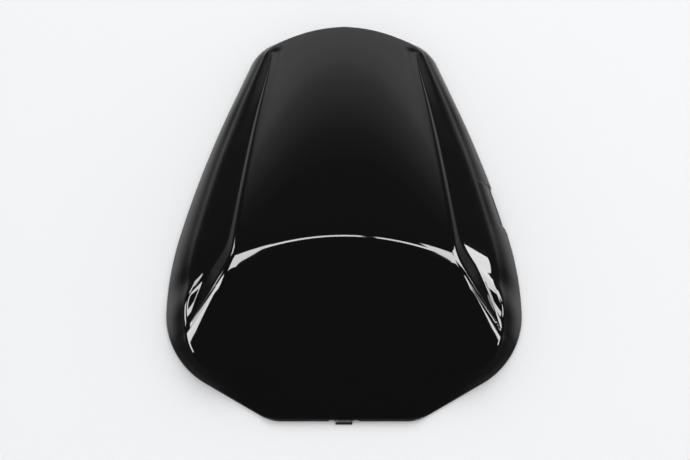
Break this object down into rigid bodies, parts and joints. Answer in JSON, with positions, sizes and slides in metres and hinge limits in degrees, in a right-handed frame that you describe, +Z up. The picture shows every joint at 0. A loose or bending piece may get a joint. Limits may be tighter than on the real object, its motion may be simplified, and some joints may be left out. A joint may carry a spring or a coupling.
{
  "type": "motorbike seat cowl",
  "caption": "Hard gloss-black cowl that covers a sport motorbike's rear seat: sloped front face, swept crest, long top panel, stepped channels, tapering tail and a latch loop inside.",
  "frame": {"origin": "centre of the bounding box's footprint, in the plane of the lower edge", "axes": "+Z up, +Y towards the bike's tail, +X the bike's left side"},
  "size_m": [0.2884, 0.358, 0.0717],
  "materials": {
    "gloss_black_abs": "clear-coated gloss black outside, plain inside",
    "zinc_steel": "zinc plated",
    "bright_steel": "smooth bright rod",
    "dark_steel": "dark plated",
    "black_rubber": "matt moulded rubber"
  },
  "bodies": {
    "root": {"cowl_shell": "gloss_black_abs", "latch_bracket": "zinc_steel", "latch_striker": "bright_steel", "striker_nuts": "zinc_steel", "bracket_screws": "dark_steel", "pad_left": "black_rubber", "pad_right": "black_rubber"}
  },
  "joints": []
}
